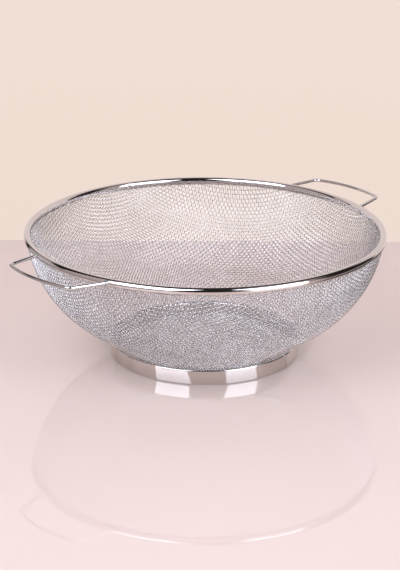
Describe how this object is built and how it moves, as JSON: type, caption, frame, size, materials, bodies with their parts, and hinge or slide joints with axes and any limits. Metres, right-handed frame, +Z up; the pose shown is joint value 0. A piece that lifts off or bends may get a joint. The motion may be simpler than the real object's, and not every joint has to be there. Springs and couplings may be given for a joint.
{
  "type": "mesh strainer",
  "caption": "Wide woven wire mesh strainer bowl in a rolled steel rim, on a low foot ring, with bent wire loop handles.",
  "frame": {"origin": "on the table, under the middle of the foot ring", "axes": "+Z up through the bowl, +X towards the right handle, +Y across the bowl"},
  "size_m": [0.3376, 0.28, 0.1008],
  "materials": {
    "mesh_wire": "bright drawn stainless wire, plain weave",
    "polished_steel": "polished stainless sheet",
    "plain_wire": "bright drawn stainless wire",
    "weld_steel": "satin weld metal, cleaned"
  },
  "bodies": {
    "root": {"mesh_bowl": "mesh_wire", "rim_sheath": "polished_steel", "rim_core_hoop": "plain_wire", "rim_seam_weld": "weld_steel", "foot_ring": "polished_steel", "foot_ring_seam_weld": "weld_steel", "foot_ring_spot_welds": "weld_steel", "handle_left": "plain_wire", "handle_right": "plain_wire", "handle_left_welds": "weld_steel", "handle_right_welds": "weld_steel"}
  },
  "joints": []
}
